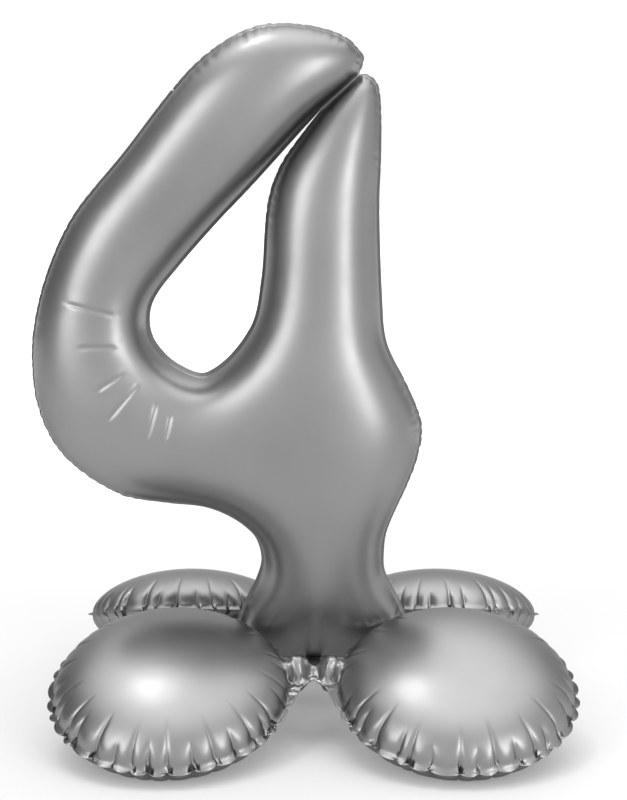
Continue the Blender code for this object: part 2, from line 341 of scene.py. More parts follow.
# %% sheet maker
FILM = 0.0002
SEAM_GAP = 0.00022  # from the middle plane to each sheet at the seam
VALVE_ROOM = 0.0009  # more of a gap where a valve lies between the sheets


def surface_normals(places, faces):
    """Smooth normals of a net of triangles in space."""
    corners = places[faces]
    face_normals = np.cross(corners[:, 1] - corners[:, 0], corners[:, 2] - corners[:, 0])
    summed = np.stack([np.bincount(faces.ravel(), np.repeat(face_normals[:, axis], 3), len(places))
                       for axis in range(3)], axis=1)
    return summed / np.maximum(np.linalg.norm(summed, axis=1, keepdims=True), 1e-12)


def make_sheet(name, places, faces, turned, finish, body, node):
    """One sheet of film as a thin closed skin that rides on its body and stands for its CAD node."""
    used = np.unique(faces)
    new_index = np.zeros(len(places), int)
    new_index[used] = np.arange(len(used))
    faces = new_index[faces[:, ::-1] if turned else faces]
    mesh = bpy.data.meshes.new(name)
    mesh.from_pydata(places[used].tolist(), [], faces.tolist())
    mesh.polygons.foreach_set("use_smooth", [True] * len(mesh.polygons))
    sheet = bpy.data.objects.new(name, mesh)
    bpy.context.scene.collection.objects.link(sheet)
    wall = sheet.modifiers.new("wall", "SOLIDIFY")
    wall.thickness = FILM
    wall.offset = -1
    mesh.materials.append(finish)
    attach(sheet, body)
    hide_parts(node)
    print(name, len(used), "points", len(faces), "triangles")


# %% [markdown]
# ## Satin silver film
#
# Metallised film has a mirror-like metal layer under a satin coat. The coat blurs what the metal
# reflects, so the sheen runs in soft bands along the arms. A picture of foil would hold one fixed set of
# reflections. A procedural metal answers to the lights instead, and noise at four scales breaks it up:
# cloudy tint, haze in the coat, grain, and slow ripples where the film is not quite tight.


# %% material helpers
def new_material(name):
    """(material, its shader, its object coordinates)"""
    made = bpy.data.materials.new(name)
    made.use_nodes = True
    place = made.node_tree.nodes.new("ShaderNodeTexCoord")
    return made, made.node_tree.nodes["Principled BSDF"], place.outputs["Object"]


def noise(made, place, scale, detail):
    """The level of a cloudy noise: the larger the scale, the smaller the clouds."""
    clouds = made.node_tree.nodes.new("ShaderNodeTexNoise")
    clouds.inputs["Scale"].default_value = scale
    clouds.inputs["Detail"].default_value = detail
    made.node_tree.links.new(place, clouds.inputs["Vector"])
    return clouds.outputs["Fac"]


def tint(made, shader, level, dark, light, colour, start=0.0, end=1.0):
    """The base colour runs from a darker to a lighter share of the colour as the level rises."""
    ramp = made.node_tree.nodes.new("ShaderNodeValToRGB")
    for element, share, position in zip(ramp.color_ramp.elements, (dark, light), (start, end)):
        element.color = (*(share * part for part in colour), 1)
        element.position = position
    made.node_tree.links.new(level, ramp.inputs["Fac"])
    made.node_tree.links.new(ramp.outputs["Color"], shader.inputs["Base Color"])


def uneven_roughness(made, shader, level, low, high):
    """The roughness runs from low to high as the level rises."""
    span = made.node_tree.nodes.new("ShaderNodeMapRange")
    span.inputs["To Min"].default_value = low
    span.inputs["To Max"].default_value = high
    made.node_tree.links.new(level, span.inputs["Value"])
    made.node_tree.links.new(span.outputs["Result"], shader.inputs["Roughness"])


def bump(made, level, strength, distance):
    """A bump node that stands as high as the level."""
    relief = made.node_tree.nodes.new("ShaderNodeBump")
    relief.inputs["Strength"].default_value = strength
    relief.inputs["Distance"].default_value = distance
    made.node_tree.links.new(level, relief.inputs["Height"])
    return relief


# %% the film's finish
EDGE_TINT = (0.55, 0.55, 0.56, 1)  # the satin coat holds the film's rim back from turning white
TINT_SCALE, HAZE_SCALE, RIPPLE_SCALE, GRAIN_SCALE = 9.0, 45.0, 14.0, 900.0
GRAIN_HEIGHT, RIPPLE_HEIGHT = 0.0001, 0.001


def satin_film(name, colour, roughness, ripple):
    made, shader, place = new_material(name)
    shader.inputs["Metallic"].default_value = 1.0
    shader.inputs["Specular Tint"].default_value = EDGE_TINT
    tint(made, shader, noise(made, place, TINT_SCALE, 4.0), 0.94, 1.04, colour, 0.35, 0.65)
    uneven_roughness(made, shader, noise(made, place, HAZE_SCALE, 6.0), roughness - 0.04, roughness + 0.05)
    grain = bump(made, noise(made, place, GRAIN_SCALE, 2.0), 0.05, GRAIN_HEIGHT)
    ripples = bump(made, noise(made, place, RIPPLE_SCALE, 1.0), ripple, RIPPLE_HEIGHT)
    made.node_tree.links.new(grain.outputs["Normal"], ripples.inputs["Normal"])
    made.node_tree.links.new(ripples.outputs["Normal"], shader.inputs["Normal"])
    return made


numeral_film = satin_film("numeral_satin_film", (0.29, 0.29, 0.288), 0.36, 0.04)
feet_film = satin_film("feet_satin_film", (0.285, 0.285, 0.287), 0.34, 0.03)
print("films:", numeral_film.name, feet_film.name)

# %% [markdown]
# ## The numeral
#
# The seam is an inset of one path that runs round the film's edge, down the slit between arm and stem,
# and round the open middle. It could be drawn as a second outline, but an inset always keeps the margin's
# width. The margin is narrower beside the slit, where two lobes of the numeral nearly touch.

# %% the numeral's seam
SLIT_FADE = 0.012  # the margin reaches its full width this far from the slit


def hem_width(points):
    """The margin's width at each point of the edge."""
    start, end = slit[0], slit[-1]
    side = end - start
    share = np.clip((points - start) @ side / (side @ side), 0, 1)
    away = np.linalg.norm(points - start - share[:, None] * side, axis=1)
    blend = np.clip(away / SLIT_FADE, 0, 1)
    return SLIT_HEM + (HEM - SLIT_HEM) * blend * blend * (3 - 2 * blend)


numeral_seam = inset(round_both, hem_width, SEAM_STEP)
half_tail = TAIL_WIDTH / 2
tail_top = numeral_low.y + HEM / 2
tail_edge = np.array([(tail_x - half_tail, tail_top), (tail_x - half_tail, tail_tip),
                      (tail_x + half_tail, tail_tip), (tail_x + half_tail, tail_top)])
print("numeral seam:", len(numeral_seam), "points")

# %% [markdown]
# ## Spot seals
#
# The short straight creases on the lower left bend are spot seals: the front and back sheets are drawn
# towards each other there, which holds the bent arm in shape. They are dents in the surface, not lines
# painted on it, so each needs a little fine net of its own, in rows beside the crease.

# %% places of the spot seals
# Each spot seal from end to end, in shares of the numeral's width and height.
SPOT_SEALS = [
    ((0.111, 0.573), (0.230, 0.555)), ((0.144, 0.506), (0.235, 0.506)), ((0.187, 0.440), (0.252, 0.466)),
    ((0.211, 0.393), (0.290, 0.451)), ((0.308, 0.364), (0.333, 0.421)), ((0.354, 0.364), (0.368, 0.404)),
]
SEAL_ROWS = (-0.005, -0.003, -0.0015, 0, 0.0015, 0.003, 0.005)
SEAL_STEP = 0.002
spot_seals = [placed(ends) for ends in SPOT_SEALS]


def beside_seal(start, end):
    """Rows of points along a spot seal and beside it."""
    line = even_steps([start, end], SEAL_STEP)
    across = np.array(Vector((end - start)).orthogonal().normalized())
    return np.vstack([line + across * away for away in SEAL_ROWS])


seal_points = np.vstack([beside_seal(start, end) for start, end in spot_seals])
print("spot seals:", len(spot_seals), "with", len(seal_points), "points")

# %% the numeral's net
# Rows of points beside the seam: how far in, and the step along the row.
SEAM_ROWS = ((0.0011, 0.0022), (0.0026, 0.0024), (0.0046, 0.0027), (0.0072, 0.0031), (0.0104, 0.0036),
             (0.0142, 0.0042), (0.0188, 0.0050))
NUMERAL_LATTICE = 0.0062
SEAL_CLEARANCE = 0.0035  # the coarse points stay this far from a spot seal's own points

seam_points = np.vstack([inset(numeral_seam, evenly(depth), step) for depth, step in SEAM_ROWS])
sparse = lattice(numeral_seam, NUMERAL_LATTICE, SEAM_ROWS[-1][0] + 0.5 * NUMERAL_LATTICE)
gaps = [np.linalg.norm(sparse[:, None] - block[None], axis=2).min(axis=1)
        for block in np.array_split(seal_points, len(SEAL_ROWS))]
sparse = sparse[np.min(gaps, axis=0) > SEAL_CLEARANCE]
net, net_faces = film_net([film_edge, tail_edge], [counter_edge], numeral_seam,
                          np.vstack([seam_points, seal_points, sparse]))
print("numeral net:", len(net), "points", len(net_faces), "triangles")

# %% the numeral's height
FATNESS = 1.10  # near 1, a straight arm has a round section
STRETCH = 0.105  # the film stops a wide place from swelling to this half thickness

height = FATNESS * inflated(net, net_faces, numeral_seam)
height /= np.hypot(1, height / STRETCH)
distance, along, foot = nearest_on(numeral_seam, net)
distance = np.where(inside(net, numeral_seam), distance, -distance)
print("numeral's greatest thickness", round(2 * height.max(), 4))

# %% the numeral's puckers
PUCKER_PITCH = 0.0105
PUCKER_JITTER = 0.28  # how far a pucker strays from its even place, as a share of the pitch
PUCKER_WIDTH = 0.0058
PUCKER_LENGTHS = (0.007, 0.019)
BEND_REACH = 0.012  # the seam's bend is smoothed over this length
SHARP_BEND = 11  # radians per metre: from this bend on, the puckers are at their deepest

seam_steps = closed_steps(numeral_seam, SEAM_STEP)
seam_length = SEAM_STEP * len(seam_steps)
seam_bend = bend_of(seam_steps, BEND_REACH)
print("seam length", round(seam_length, 3))


def numeral_puckers(random):
    """Valleys where the seam turns outwards: the sharper the turn, the deeper."""
    places = valley_places(seam_length, PUCKER_PITCH, PUCKER_JITTER, random)
    bend = np.interp(places, np.arange(len(seam_bend)) * SEAM_STEP, seam_bend)
    strength = np.clip(bend / SHARP_BEND, 0, 1) ** 0.7
    lengths = random.uniform(*PUCKER_LENGTHS, len(places)) * (0.5 + 0.5 * strength)
    depths = strength * random.uniform(0.5, 1, len(places))
    return valleys(along, distance, seam_length, PUCKER_WIDTH, places, lengths, depths)


# %% dents of the spot seals
SEAL_DENT, SEAL_WIDTH = 0.0016, 0.0022  # a narrow dent
SEAL_SWELL, SWELL_WIDTH = 0.0006, 0.0060  # and the slight swelling on both sides of it
SEAL_TAPER = 5  # a spot seal tapers over a fifth of its length at each end


def spot_seal_depth(points):
    """How deep the spot seals dent the sheet at each point, in metres."""
    deep = np.zeros(len(points))
    for start, end in spot_seals:
        start, end = np.array(start), np.array(end)
        side = end - start
        share = ((points - start) @ side) / (side @ side)
        away = np.linalg.norm(points - start - np.clip(share, 0, 1)[:, None] * side, axis=1)
        taper = np.clip(np.minimum(share, 1 - share) * SEAL_TAPER, 0, 1) ** 0.6
        deep += SEAL_DENT * taper * np.exp(-(away / SEAL_WIDTH) ** 2)
        deep -= SEAL_SWELL * taper * np.exp(-(away / SWELL_WIDTH) ** 2)
    return deep


# %% [markdown]
# ## The numeral's foot
#
# The bottom of the numeral is gathered to its tail, and rests in the dip between the pillows. So the
# chamber stands full and blunt over its lower seam, and the gathered margin hangs down in waves on both
# sides of the tail. A simulation would need the pillows as colliders. Two smooth formulas, strongest at
# the tail, shape the sheet near it instead.

# %% the foot and its gathered margin
BELLY_WIDTH = 0.075  # the foot is blunt out to this far on each side of the tail
BELLY_TALL = 0.055  # and up to about this height
BELLY_FULL = 0.65  # 0 leaves the round section, and 1 would make it square
BELLY_DEPTH = 0.047  # half thickness of the blunt foot
BELLY_SAG = 0.005
LIP_WIDTH = 0.080  # the gathered margin reaches this far on each side of the tail
LIP_DROP, DROP_WAVES = 0.0100, 330
LIP_TOP = 0.010  # only the margin lower than this above the film's lowest edge hangs down
LIP_WAVE, LIP_WAVES = 0.0016, 420  # waves are in radians per metre
TAIL_BLEND = 0.006  # the waves die out over this distance beside the tail


def belly_share():
    """1 in the middle of the numeral's foot, and 0 away from it."""
    above = np.maximum(net[:, 1] - numeral_low.y, 0)
    return np.exp(-((net[:, 0] - tail_x) / BELLY_WIDTH) ** 4) * np.exp(-(above / BELLY_TALL) ** 2)


def hang_lip(places):
    """Lets the gathered margin beside the tail hang lower than the rest, in waves."""
    from_tail = net[:, 0] - tail_x
    gathered = np.clip(1 - (from_tail / LIP_WIDTH) ** 2, 0, 1) * np.clip(-distance / HEM, 0, 1)
    gathered *= (net[:, 1] < numeral_low.y + LIP_TOP) * np.clip((net[:, 1] - tail_tip) / TAIL_LENGTH, 0, 1)
    beside_tail = np.clip((np.abs(from_tail) - half_tail) / TAIL_BLEND, 0, 1)
    places[:, 2] -= LIP_DROP * gathered * (0.8 + 0.2 * np.cos(net[:, 0] * DROP_WAVES))
    places[:, 1] += LIP_WAVE * gathered * beside_tail * np.sin(net[:, 0] * LIP_WAVES)


belly = belly_share()
print("points in the blunt foot:", int((belly > 0.5).sum()))

# %% the numeral's two sheets
PUCKER_PULL, PULL_REACH = 0.0019, 0.008  # a pucker draws the seam in, and how far in that is felt
PUCKER_SINK, SINK_REACH = 0.45, 0.02  # and it sinks the film by a share of its height
VALVE_TOP, VALVE_BLEND = 0.020, 0.016  # the valve ends this far above the lower edge
TAUT_HEIGHT = 0.01  # spot seals dent only the film that stands higher than this


def numeral_sheet(name, side, node, random):
    pucker = numeral_puckers(random)
    inward = foot - net
    inward /= np.maximum(np.linalg.norm(inward, axis=1, keepdims=True), 1e-9)
    inward[distance > 0] *= -1
    pull = PUCKER_PULL * pucker * np.clip(1 - distance / PULL_REACH, 0, 1)
    flat = net + inward * pull[:, None]
    rise = height * (1 - PUCKER_SINK * pucker * np.clip(1 - distance / SINK_REACH, 0, 1))
    rise = rise ** (1 - BELLY_FULL * belly) * BELLY_DEPTH ** (BELLY_FULL * belly)
    seam_gap = SEAM_GAP + VALVE_ROOM * np.clip((numeral_low.y + VALVE_TOP - net[:, 1]) / VALVE_BLEND, 0, 1)
    places = np.stack([flat[:, 0], side * (seam_gap + rise), flat[:, 1]], axis=1)
    places[:, 2] -= BELLY_SAG * belly * np.minimum(rise / BELLY_DEPTH, 1)
    outward = surface_normals(places, net_faces)
    outward *= side * np.sign(outward[:, 1:2])
    dent = spot_seal_depth(net) * (height > TAUT_HEIGHT)
    places -= outward * dent[:, None]
    hang_lip(places)
    make_sheet(name, places, net_faces, side > 0, numeral_film, "numeral", node)


pucker_chance = np.random.default_rng(4)
numeral_sheet("numeral_front_sheet", -1, "number_front_foil", pucker_chance)
numeral_sheet("numeral_back_sheet", 1, "number_back_foil", pucker_chance)

# %% [markdown]
# ## The feet
#
# A pair of feet is one chamber: two discs of film joined by a narrow neck, with a flat strap that runs
# from the waist to the numeral's tail. It is drawn flat, as the film is cut, and laid in place on its
# slope in the last step, because every formula is simpler while the sheet is flat.

# %% measures of the feet
FOOT_RADIUS = 0.1224
FOOT_THICKNESS = 0.0956
FOOT_TILT = math.radians(21.8)
FOOT_HEM = 0.005
WAIST = 0.033  # the film's far edge at the waist, up the slope from the pillows' centres
STRAP_WIDTH = 0.017
STRAP_SETBACK = 0.001  # the strap stops this far from the line that it swings about

feet_low, feet_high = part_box("front_feet_upper_foil")
feet_middle = (feet_low.x + feet_high.x) / 2
foot_spread = (feet_high.x - feet_low.x) / 2 - FOOT_RADIUS
foot_reach = -feet_low.y - FOOT_RADIUS * math.cos(FOOT_TILT)
seat = feet_low.z + FOOT_RADIUS * math.sin(FOOT_TILT)
seam_radius = FOOT_RADIUS - FOOT_HEM
print("pillow centres", round(2 * foot_spread, 4), "apart and", round(seat, 4), "up")

# %% the strap
hinge = Vector(frame["joints"][0]["pos_m"])
waist_reach = foot_reach - WAIST * math.cos(FOOT_TILT)
waist_height = seat + WAIST * math.sin(FOOT_TILT)
strap_drop = math.atan2(waist_height - hinge.z, waist_reach - abs(hinge.y))
strap_length = math.hypot(waist_height - hinge.z, waist_reach - abs(hinge.y)) - STRAP_SETBACK
half_strap = STRAP_WIDTH / 2
strap_top = WAIST + strap_length
strap_start = WAIST - FOOT_HEM / 2
STRAP_STEP = 0.004
strap_edge = np.vstack([even_steps([(half_strap, strap_start), (half_strap, strap_top)], STRAP_STEP),
                        even_steps([(-half_strap, strap_top), (-half_strap, strap_start)], STRAP_STEP)])
print("strap length", round(strap_length, 4), "drop", round(math.degrees(strap_drop), 1), "degrees")

# %% [markdown]
# ## Outline with pleat places
#
# A disc that is blown up can't stay round at its edge, so its rim gathers into deep pleats, each with a
# scallop of margin between two cusps. A plain lattice would cut across the pleats and blur them. So the
# net of a pillow is polar: its spokes stand close together at each pleat and further apart between
# pleats, and the rim, the seam and all the rings in between share the same spokes.

# %% spokes at the pleats
PLEAT_PITCH = 0.0205
PLEAT_JITTER = 0.24
SPOKES_AT_PLEAT = np.array([0, 0.0011, 0.0025, 0.0045])  # distances from the pleat, at the seam
SPOKE_STEP = 0.0027  # between pleats


def pleat_turns(random):
    """Places of the pleats round a pillow, as angles; the neck is at half a turn."""
    count = round(2 * math.pi * seam_radius / PLEAT_PITCH)
    even = np.arange(count) + 0.5
    return (even + PLEAT_JITTER * random.uniform(-1, 1, count)) / count * 2 * math.pi - math.pi


def fine_turns(turns):
    """Angles of the spokes: close together at each pleat and wider between pleats."""
    close = SPOKES_AT_PLEAT / seam_radius
    ends = np.append(turns, turns[0] + 2 * math.pi)
    found = []
    for start, end in zip(ends[:-1], ends[1:]):
        first, last = start + close[-1], end - close[-1]
        between = np.linspace(first, last, max(round((last - first) * seam_radius / SPOKE_STEP), 1) + 1)
        found += [start + close[:-1], between, end - close[-2:0:-1]]
    found = np.concatenate(found)
    return np.sort((found + math.pi) % (2 * math.pi) - math.pi)


# %% outline of a pair
# Where the neck leaves the pillows, below and above their centre line.
FILM_NECK = (-0.040, 0.052)
SEAM_NECK = (0.006, 0.038)
# The neck's edges, from the middle outwards: sideways from the middle, and up the slope.
FILM_NEAR = ((0.0012, 0.0125), (0.012, 0.0010))
FILM_FAR = ((0.0085, 0.0335), (0.016, 0.0440))
SEAM_NEAR = ((0.0045, 0.0185), (0.0080, 0.0105), (0.0150, 0.0070), (0.0215, 0.0095), (0.0262, 0.0125))
SEAM_FAR = ((0.0045, 0.0290), (0.0080, 0.0375), (0.0150, 0.0400), (0.0215, 0.0365), (0.0262, 0.0330))
NECK_STEP = 0.0020
SPOKE_CLEARANCE = 0.004  # radians between the neck's corner and the next spoke


def feet_outline(radius, neck, near_edge, far_edge, turns):
    """Round the right pillow, across the far side of the neck, round the left pillow and back."""
    first, last = math.asin(neck[1] / radius), math.asin(neck[0] / radius)
    start, end = -math.pi - last, math.pi - first
    sides = []
    for sign, angles in zip((1, -1), turns):
        free = (angles > start + SPOKE_CLEARANCE) & (angles < end - SPOKE_CLEARANCE)
        angles = np.concatenate([[start], angles[free], [end]])
        across, up = sign * (foot_spread + radius * np.cos(angles)), radius * np.sin(angles)
        sides.append(np.stack([across, up], axis=1))
    right, left = sides[0], sides[1][::-1]
    necks = [[*[(-x, y) for x, y in part[::-1]], *part] for part in (near_edge, far_edge)]
    near = smooth_stroke([left[-1], *necks[0], right[0]], NECK_STEP)[1:-1]
    far = smooth_stroke([right[-1], *necks[1][::-1], left[0]], NECK_STEP)[1:-1]
    return np.vstack([right, far, left, near])


# %% the feet's net
PLEAT_RINGS = (0.0011, 0.0030, 0.0055, 0.0085, 0.012, 0.016, 0.0205, 0.0255, 0.031, 0.037, 0.043, 0.049)
FEET_LATTICE = 0.0062  # in the smooth middle of a pillow
HUB_LATTICE = 0.0018  # in the crumpled film at the waist
HUB_HALF = 0.034  # the waist reaches this far from the middle
HUB_GAP = 0.001  # and its points stay this far from the pillows' seams
SMOOTH_MARGIN = 0.0035  # the coarse points stay this far from the seam
EDGE_CLEARANCE = 0.0008  # fine points stay this far from the film's edge
SEAM_CLEARANCE = 0.0007  # and from the seam


def nearest_pillow(points):
    """Distance to the nearest pillow's centre."""
    return np.hypot(np.abs(points[:, 0]) - foot_spread, points[:, 1])


def hub_points(edge, seam):
    """Fine points over the waist and the webs of film beside it."""
    hub = lattice(edge, HUB_LATTICE, EDGE_CLEARANCE)
    hub = hub[(np.abs(hub[:, 0]) < HUB_HALF) & (nearest_pillow(hub) > seam_radius + HUB_GAP)]
    return hub[nearest_on(seam, hub)[0] > SEAM_CLEARANCE]


def feet_net(turns):
    """(seam, points, triangles) of a pair of pillows with its strap."""
    spokes = [fine_turns(side) for side in turns]
    edge = feet_outline(FOOT_RADIUS, FILM_NECK, FILM_NEAR, FILM_FAR, spokes)
    seam = feet_outline(seam_radius, SEAM_NECK, SEAM_NEAR, SEAM_FAR, spokes)
    rings = [np.stack([sign * (foot_spread + (seam_radius - depth) * np.cos(side)),
                       (seam_radius - depth) * np.sin(side)], axis=1)
             for sign, side in zip((1, -1), spokes) for depth in PLEAT_RINGS]
    rings = np.vstack(rings)
    rings = rings[inside(rings, seam)]
    rings = rings[nearest_on(seam, rings)[0] > EDGE_CLEARANCE]
    sparse = lattice(seam, FEET_LATTICE, SMOOTH_MARGIN)
    sparse = sparse[nearest_pillow(sparse) < seam_radius - PLEAT_RINGS[-1] - FEET_LATTICE / 2]
    strap_points = np.array([(x * STRAP_WIDTH, y) for x in (-0.25, 0, 0.25)
                             for y in np.arange(WAIST, strap_top - STRAP_STEP / 2, STRAP_STEP)])
    points, faces = film_net([edge, strap_edge], [], seam,
                             np.vstack([rings, sparse, hub_points(edge, seam), strap_points]))
    return seam, points, faces


# %% [markdown]
# ## Pleats and crumples
#
# Each pleat is a narrow crease that runs up the pillow from a cusp in its rim, and between two cusps the
# rim bulges in a scallop. Long and short creases take turns, with some chance in it. A bump texture could
# suggest them, but the rim's outline would stay a plain circle, so they are moves of the net itself. At
# the waist the film is crumpled, and many small straight folds that cross each other make that.

# %% pleats in a pillow
SCALLOP_DEPTH, SCALLOP_REACH = 0.0038, 0.016
CREASE_DEPTH, CREASE_WIDTH = 0.0017, 0.0040
LONG_CREASES, SHORT_CREASES = (0.024, 0.038), (0.010, 0.020)
NECK_TURN = 0.35  # radians from the neck within which the pleats grow shallow


def pleat_depth(points, distance, turns, random):
    """How far each point of a pair of pillows is drawn in by the pleats, in metres."""
    amount = np.zeros(len(points))
    for sign, places in zip((1, -1), turns):
        mine = points[:, 0] * sign > 0
        x, y = points[mine, 0] * sign - foot_spread, points[mine, 1]
        turn = np.arctan2(y, x)
        away = np.abs((turn[:, None] - places + math.pi) % (2 * math.pi) - math.pi) * seam_radius
        order = np.sort(away, axis=1)
        nearest = away.argmin(axis=1)
        count = len(places)
        length = np.where(np.arange(count) % 2 == 0, random.uniform(*LONG_CREASES, count),
                          random.uniform(*SHORT_CREASES, count))
        depth = random.uniform(0.65, 1.0, count)
        inward = np.maximum(distance[mine], 0)
        between = np.clip(order[:, 0] / (order[:, 0] + order[:, 1]), 0, 0.5)
        scallop = SCALLOP_DEPTH * (1 - np.sin(math.pi * between))
        scallop *= np.clip(1 - inward / SCALLOP_REACH, 0, 1) ** 2
        crease = CREASE_DEPTH * np.clip(1 - (inward / length[nearest]) ** 2, 0, 1)
        crease *= np.clip(1 - order[:, 0] / CREASE_WIDTH, 0, 1) ** 1.4
        neck = np.clip((math.pi - np.abs(turn)) / NECK_TURN, 0.25, 1)
        amount[mine] = (scallop + crease) * depth[nearest] * neck
    return amount


# %% crumples at the waist
CRUMPLES = 150
CRUMPLE_MIDDLE, CRUMPLE_SPREAD = (0, 0.012), (0.018, 0.013)
CRUMPLE_LENGTHS, CRUMPLE_HEIGHTS = (0.004, 0.010), (0.0004, 0.0010)
CRUMPLE_WIDTH = 0.0016
CRUMPLED_HALF = 0.031  # no crumples further than this from the middle


def crumples(points, random):
    """Sharp little folds in the film that is gathered at the waist and in the flat webs beside it."""
    height = np.zeros(len(points))
    for _ in range(CRUMPLES):
        middle = np.array([random.normal(*pair) for pair in zip(CRUMPLE_MIDDLE, CRUMPLE_SPREAD)])
        lean = random.uniform(0, math.pi)
        way = np.array([math.cos(lean), math.sin(lean)])
        offset = points - middle
        length, away = np.abs(offset @ way), np.abs(offset[:, 0] * way[1] - offset[:, 1] * way[0])
        ridge = np.clip(1 - length / random.uniform(*CRUMPLE_LENGTHS), 0, 1)
        ridge *= np.clip(1 - away / CRUMPLE_WIDTH, 0, 1)
        height += random.choice((-1, 1)) * random.uniform(*CRUMPLE_HEIGHTS) * ridge
    return height * np.exp(-((points[:, 0] / CRUMPLED_HALF) ** 6))


# %% [markdown]
# ## Laying the feet in place
#
# Each pair lies on a slope: its outer rims touch the floor, and its waist is lifted, with the strap
# running down from there to the numeral's tail. The flat drawing could be turned with object rotations,
# but one sheet bends at the waist, so each point is turned by a formula, and the rear pair is the same
# with its depth turned.

# %% laying a point in place
STRAP_TOLERANCE = 0.0003
FLOOR_GAP = 0.0001
UPPER_FLOOR_GAP = 0.0005  # the upper sheet stays over the lower one where both are on the floor


def in_strap(u):
    """Which points lie within the strap's width."""
    return np.abs(u) < half_strap + STRAP_TOLERANCE


def laid(u, v, w, side):
    """The drawing's points in place: the pillows slope up to the waist, and the strap slopes down."""
    along = np.where(in_strap(u), np.maximum(v - WAIST, 0), 0)
    v = v - along
    on_strap = np.clip(along / half_strap, 0, 1)
    lean = FOOT_TILT * (1 - on_strap) - strap_drop * on_strap
    inward = (v - WAIST) * math.cos(FOOT_TILT) + along * math.cos(strap_drop) - w * np.sin(lean)
    inward -= waist_reach
    up = (v - WAIST) * math.sin(FOOT_TILT) - along * math.sin(strap_drop) + w * np.cos(lean)
    up += waist_height
    return np.stack([feet_middle + u, side * inward, up], axis=1)


# %% shape of one pair
KNUCKLE_FATNESS, KNUCKLE_HALF = 1.5, 0.024  # the neck's two knuckles are rounder than the pillows
PLAIN_HALF = 0.022  # no pleats nearer than this to the middle
DROP_BLEND = 0.03
SIDEWAYS_REACH = 0.006  # nearer to the seam than this, pleats push sideways and not down


def feet_shape(end, rim_drop, random):
    """All that the two sheets of a pair share."""
    turns = [pleat_turns(random), pleat_turns(random)]
    seam, net, faces = feet_net(turns)
    height = inflated(net, faces, seam)
    height *= FOOT_THICKNESS / 2 / height.max()
    height *= 1 + KNUCKLE_FATNESS * np.exp(-(net[:, 0] / KNUCKLE_HALF) ** 6)
    distance, _, foot = nearest_on(seam, net)
    within = inside(net, seam)
    outward = np.where(within[:, None], foot - net, net - foot)
    outward /= np.maximum(np.linalg.norm(outward, axis=1, keepdims=True), 1e-9)
    distance = np.where(within, distance, -distance)
    pleat = pleat_depth(net, distance, turns, random) * (np.abs(net[:, 0]) > PLAIN_HALF)
    drop = rim_drop * (1 + net[:, 1] / FOOT_RADIUS) * (1 - (height / height.max()) ** 2)
    drop *= np.clip((np.abs(net[:, 0]) - half_strap) / DROP_BLEND, 0, 1)
    print(end, "feet:", len(net), "points", len(faces), "triangles, deepest pleat", round(pleat.max(), 4))
    return net, faces, height, distance, outward, pleat, drop, crumples(net, random)


# %% the feet's sheets
def feet_pair(end, side, rim_drop, random):
    net, faces, height, distance, outward, pleat, drop, crumple = feet_shape(end, rim_drop, random)
    valve = np.clip((net[:, 1] - WAIST + FOOT_HEM) / (2 * FOOT_HEM), 0, 1) * in_strap(net[:, 0])
    seam_gap = SEAM_GAP + VALVE_ROOM * valve
    inner = np.clip(distance / SIDEWAYS_REACH, 0, 1)[:, None]
    for half, way in (("upper", 1), ("lower", -1)):
        rows = np.stack([net[:, 0], net[:, 1], way * (seam_gap + height)], axis=1)
        normals = surface_normals(rows, faces)
        normals *= np.where(normals[:, 2:] * way < 0, -1, 1)
        push = normals * inner + np.column_stack([outward, np.zeros(len(net))]) * (1 - inner)
        push /= np.maximum(np.linalg.norm(push, axis=1, keepdims=True), 1e-9)
        rows -= push * pleat[:, None]
        rows[:, 2] += way * np.abs(crumple) + crumple
        rows[:, 2] = way * np.maximum(way * rows[:, 2], seam_gap) - drop
        places = laid(rows[:, 0], rows[:, 1], rows[:, 2], side)
        places[:, 2] = np.maximum(places[:, 2], UPPER_FLOOR_GAP if way > 0 else FLOOR_GAP)
        make_sheet(f"{end}_feet_{half}_sheet", places, faces, way * side < 0, feet_film,
                   f"{end}_feet", f"{end}_feet_{half}_foil")


# The straps pull the inner rims below the pillows' middle planes, the rear ones more.
feet_pair("front", 1, 0.001, np.random.default_rng(11))
feet_pair("rear", -1, 0.005, np.random.default_rng(12))

# %% [markdown]
# ## Valves and pads
#
# The self-sealing valves are pairs of clear film strips inside the straps and the tail, and the joining
# pads are soft adhesive between them. They are hardly seen and lie flat, so their CAD shapes serve as
# they are. Only a finish is added: clear, slightly hazy film, and a dull grey rubbery pad with a fine
# grain.


# %% valve and pad finishes
def small_part_finish(name, colour, roughness, scale, clearness):
    made, shader, place = new_material(name)
    shader.inputs["Transmission Weight"].default_value = clearness
    grain = noise(made, place, scale, 2.0)
    tint(made, shader, grain, 0.85, 1.0, colour)
    uneven_roughness(made, shader, grain, roughness - 0.08, roughness + 0.08)
    return made


clear_film = small_part_finish("clear_valve_film", (0.82, 0.84, 0.86), 0.22, 180, 0.6)
soft_pad = small_part_finish("soft_adhesive_pad", (0.42, 0.42, 0.42), 0.62, 420, 0.0)
for name, node in frame["nodes"].items():
    if "valve" in name or "pad" in name:
        node.data.materials.clear()
        node.data.materials.append(soft_pad if "pad" in name else clear_film)
        print(name, node.data.materials[0].name)

# %% [markdown]
# ## Floor
#
# The balloon stands on a plain floor. Satin metal mirrors the floor in everything that faces down, so the
# floor's colour and glow show in the finish. The floor is a mid grey, and its glow is painted light, an
# emission of its own: in front it is dim, which keeps the undersides dark, and behind the balloon it rises
# to white, so that it meets the white wall with no line. A smooth range over the depth does that.

# %% the floor
FLOOR_SIZE = 60
FLOOR_GREY = (0.51, 0.51, 0.51, 1)
# The floor's glow is painted light: its own emission, weak in front and strong behind the balloon.
GLOW_STARTS, GLOW_FULL = 0.25, 2.2  # how far behind the balloon the floor's glow rises
GLOW_LOW, GLOW_HIGH = 0.20, 0.88


